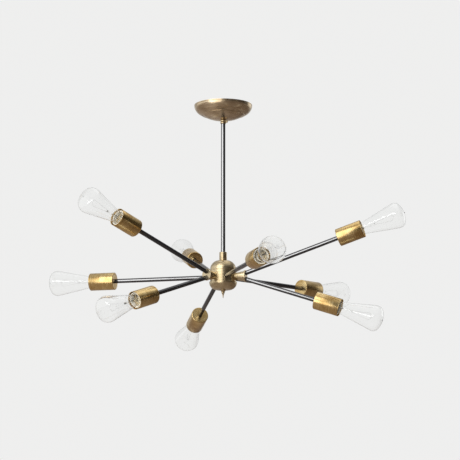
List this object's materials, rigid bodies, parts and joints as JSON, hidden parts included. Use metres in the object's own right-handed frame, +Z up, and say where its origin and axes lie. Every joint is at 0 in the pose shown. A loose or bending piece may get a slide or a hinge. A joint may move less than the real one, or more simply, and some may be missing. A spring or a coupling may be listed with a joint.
{
  "type": "sputnik chandelier",
  "caption": "Ceiling chandelier with a brass hub, black arms rising, level and falling in a ring, brass lamp cups with clear teardrop bulbs, a short stem and a round canopy.",
  "frame": {"origin": "middle of the crossbar's top face, in the plane of the ceiling, on the axis of the stem", "axes": "+Z up along the stem into the ceiling; the picture looks along +Y from below, with +X to its right"},
  "size_m": [0.7728, 0.7728, 0.5083],
  "materials": {
    "antique_brass": "brushed, lacquered, slightly aged",
    "black_tube": "satin black",
    "zinc_steel": "zinc plated",
    "green_screw": "green passivated steel",
    "porcelain": "white glaze",
    "socket_brass": "bright, unlacquered",
    "bulb_cap": "pressed screw cap, satin",
    "clear_glass": "clear, polished"
  },
  "bodies": {
    "fixture": {"neck_coupling": "antique_brass", "hub_top_cap": "antique_brass", "hub_body": "antique_brass", "hub_bottom_cap": "antique_brass", "finial": "antique_brass", "arm_holder_left": "antique_brass", "arm_holder_right": "antique_brass", "arm_holder_rear": "antique_brass", "socket_cup_upper_left": "antique_brass", "socket_cup_lower_left": "antique_brass", "socket_cup_upper_right": "antique_brass", "socket_cup_lower_right": "antique_brass", "socket_cup_upper_rear": "antique_brass", "socket_cup_lower_rear": "antique_brass", "socket_cup_level_left": "antique_brass", "socket_cup_level_front": "antique_brass", "socket_cup_level_rear": "antique_brass", "stem": "black_tube", "arm_upper_left": "black_tube", "arm_lower_left": "black_tube", "arm_upper_right": "black_tube", "arm_lower_right": "black_tube", "arm_upper_rear": "black_tube", "arm_lower_rear": "black_tube", "arm_level_left": "black_tube", "arm_level_front": "black_tube", "arm_level_rear": "black_tube", "crossbar": "zinc_steel", "ceiling_nipple": "zinc_steel", "stem_coupler": "zinc_steel", "tie_tube": "zinc_steel", "lock_nuts": "zinc_steel", "socket_brackets": "zinc_steel", "ground_screw": "green_screw", "socket_insulators": "porcelain", "screw_shells": "socket_brass", "centre_contacts": "socket_brass"},
    "slip_ring": {"slip_ring": "antique_brass"},
    "canopy": {"canopy": "antique_brass"},
    "thumb_screw": {"thumb_screw": "antique_brass"},
    "bulb_upper_left": {"bulb_base_upper_left": "bulb_cap", "bulb_glass_upper_left": "clear_glass"},
    "bulb_lower_left": {"bulb_base_lower_left": "bulb_cap", "bulb_glass_lower_left": "clear_glass"},
    "bulb_upper_right": {"bulb_base_upper_right": "bulb_cap", "bulb_glass_upper_right": "clear_glass"},
    "bulb_lower_right": {"bulb_base_lower_right": "bulb_cap", "bulb_glass_lower_right": "clear_glass"},
    "bulb_upper_rear": {"bulb_base_upper_rear": "bulb_cap", "bulb_glass_upper_rear": "clear_glass"},
    "bulb_lower_rear": {"bulb_base_lower_rear": "bulb_cap", "bulb_glass_lower_rear": "clear_glass"},
    "bulb_level_left": {"bulb_base_level_left": "bulb_cap", "bulb_glass_level_left": "clear_glass"},
    "bulb_level_front": {"bulb_base_level_front": "bulb_cap", "bulb_glass_level_front": "clear_glass"},
    "bulb_level_rear": {"bulb_base_level_rear": "bulb_cap", "bulb_glass_level_rear": "clear_glass"}
  },
  "joints": [
    {"name": "slip_ring_slide", "type": "slide", "parent": "fixture", "child": "slip_ring", "axis": [0, 0, -1], "range_m": [0, 0.25]},
    {"name": "canopy_turn", "type": "hinge", "parent": "slip_ring", "child": "canopy", "pos_m": [0, 0, -0.0325], "axis": [0, 0, 1], "continuous": true},
    {"name": "thumb_screw_turn", "type": "hinge", "parent": "slip_ring", "child": "thumb_screw", "pos_m": [0.00554, -0.0032, -0.03705], "axis": [0.866, -0.5, 0], "range_deg": [0, 540]},
    {"name": "bulb_upper_left_out", "type": "slide", "parent": "fixture", "child": "bulb_upper_left", "axis": [-0.6706, -0.6706, 0.3173], "range_m": [0, 0.045]},
    {"name": "bulb_lower_left_out", "type": "slide", "parent": "fixture", "child": "bulb_lower_left", "axis": [-0.6706, -0.6706, -0.3173], "range_m": [0, 0.045]},
    {"name": "bulb_upper_right_out", "type": "slide", "parent": "fixture", "child": "bulb_upper_right", "axis": [0.916, -0.2454, 0.3173], "range_m": [0, 0.045]},
    {"name": "bulb_lower_right_out", "type": "slide", "parent": "fixture", "child": "bulb_lower_right", "axis": [0.916, -0.2454, -0.3173], "range_m": [0, 0.045]},
    {"name": "bulb_upper_rear_out", "type": "slide", "parent": "fixture", "child": "bulb_upper_rear", "axis": [-0.2454, 0.916, 0.3173], "range_m": [0, 0.045]},
    {"name": "bulb_lower_rear_out", "type": "slide", "parent": "fixture", "child": "bulb_lower_rear", "axis": [-0.2454, 0.916, -0.3173], "range_m": [0, 0.045]},
    {"name": "bulb_level_left_out", "type": "slide", "parent": "fixture", "child": "bulb_level_left", "axis": [-0.9659, 0.2588, 0], "range_m": [0, 0.045]},
    {"name": "bulb_level_front_out", "type": "slide", "parent": "fixture", "child": "bulb_level_front", "axis": [0.2588, -0.9659, 0], "range_m": [0, 0.045]},
    {"name": "bulb_level_rear_out", "type": "slide", "parent": "fixture", "child": "bulb_level_rear", "axis": [0.7071, 0.7071, 0], "range_m": [0, 0.045]}
  ]
}
